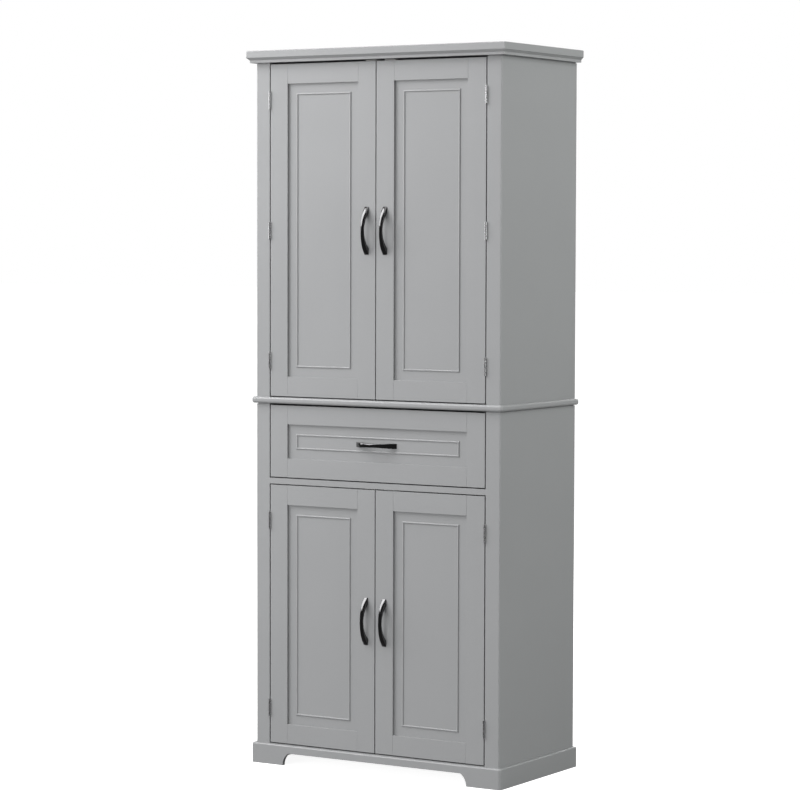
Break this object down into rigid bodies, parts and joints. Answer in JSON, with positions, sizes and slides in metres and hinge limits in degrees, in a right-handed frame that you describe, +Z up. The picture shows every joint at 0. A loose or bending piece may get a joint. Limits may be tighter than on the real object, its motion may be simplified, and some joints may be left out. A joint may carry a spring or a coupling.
{
  "type": "pantry cabinet",
  "caption": "Tall free-standing pantry cabinet with framed inset doors above and below a full-width drawer, a cornice, a waist board and a footed plinth.",
  "frame": {"origin": "on the floor, at the middle of the overall width and of the overall depth with the handles counted", "axes": "+X to the right as one faces the doors, +Y from the doors to the back, +Z up"},
  "size_m": [0.763, 0.4054, 1.834],
  "materials": {
    "grey_paint": "satin grey paint on fibreboard",
    "back_board": "grey printed hardboard",
    "drawer_board": "light grey melamine-faced board",
    "handle_nickel": "polished black nickel",
    "zinc_steel": "bright zinc",
    "runner_steel": "zinc-plated sheet steel",
    "catch_plastic": "moulded white plastic"
  },
  "bodies": {
    "carcass": {"cornice_moulding": "grey_paint", "cornice_top_board": "grey_paint", "drawer_divider_panel": "grey_paint", "frame_rails": "grey_paint", "hinge_frame_leaves": "zinc_steel", "hinge_frame_screws": "zinc_steel", "hinge_pins": "zinc_steel", "lower_back_panel": "back_board", "lower_bottom_panel": "grey_paint", "lower_frame_stiles": "grey_paint", "lower_shelf_board": "grey_paint", "lower_side_panels": "grey_paint", "magnetic_catches": "catch_plastic", "plinth_front": "grey_paint", "plinth_rear_rail": "grey_paint", "plinth_sides": "grey_paint", "runner_battens": "drawer_board", "runner_cabinet_members": "runner_steel", "shelf_pins": "zinc_steel", "upper_back_panel": "back_board", "upper_frame_stiles": "grey_paint", "upper_shelves": "grey_paint", "upper_side_panels": "grey_paint", "upper_top_panel": "grey_paint", "waist_board": "grey_paint", "wall_bracket": "zinc_steel", "wall_bracket_screw": "zinc_steel"},
    "drawer": {"drawer_bottom": "drawer_board", "drawer_box_back": "drawer_board", "drawer_box_front": "drawer_board", "drawer_box_sides": "drawer_board", "drawer_front_frame": "grey_paint", "drawer_front_panel": "grey_paint", "drawer_handle": "handle_nickel", "drawer_screws": "zinc_steel", "runner_drawer_members": "runner_steel"},
    "runner_middle": {"runner_middle_members": "runner_steel"},
    "upper_left_door": {"upper_left_door_fixings": "zinc_steel", "upper_left_door_frame": "grey_paint", "upper_left_door_handle": "handle_nickel", "upper_left_door_hinge_leaves": "zinc_steel", "upper_left_door_panel": "grey_paint"},
    "upper_right_door": {"upper_right_door_fixings": "zinc_steel", "upper_right_door_frame": "grey_paint", "upper_right_door_handle": "handle_nickel", "upper_right_door_hinge_leaves": "zinc_steel", "upper_right_door_panel": "grey_paint"},
    "lower_left_door": {"lower_left_door_fixings": "zinc_steel", "lower_left_door_frame": "grey_paint", "lower_left_door_handle": "handle_nickel", "lower_left_door_hinge_leaves": "zinc_steel", "lower_left_door_panel": "grey_paint"},
    "lower_right_door": {"lower_right_door_fixings": "zinc_steel", "lower_right_door_frame": "grey_paint", "lower_right_door_handle": "handle_nickel", "lower_right_door_hinge_leaves": "zinc_steel", "lower_right_door_panel": "grey_paint"}
  },
  "joints": [
    {"name": "upper_left_door_hinge", "type": "hinge", "parent": "carcass", "child": "upper_left_door", "pos_m": [-0.32, -0.18185, 1.37538], "axis": [0, 0, -1], "range_deg": [0, 170]},
    {"name": "lower_left_door_hinge", "type": "hinge", "parent": "carcass", "child": "lower_left_door", "pos_m": [-0.32, -0.18185, 0.3895], "axis": [0, 0, -1], "range_deg": [0, 170]},
    {"name": "upper_right_door_hinge", "type": "hinge", "parent": "carcass", "child": "upper_right_door", "pos_m": [0.32, -0.18185, 1.37538], "axis": [0, 0, 1], "range_deg": [0, 170]},
    {"name": "lower_right_door_hinge", "type": "hinge", "parent": "carcass", "child": "lower_right_door", "pos_m": [0.32, -0.18185, 0.3895], "axis": [0, 0, 1], "range_deg": [0, 170]},
    {"name": "drawer_slide", "type": "slide", "parent": "carcass", "child": "drawer", "axis": [0, -1, 0], "range_m": [0, 0.28]},
    {"name": "runner_middle_slide", "type": "slide", "parent": "carcass", "child": "runner_middle", "axis": [0, -1, 0], "range_m": [0, 0.14]}
  ],
  "couplings": [
    {"joint": "runner_middle_slide", "follows": "drawer_slide", "ratio": 0.5}
  ]
}
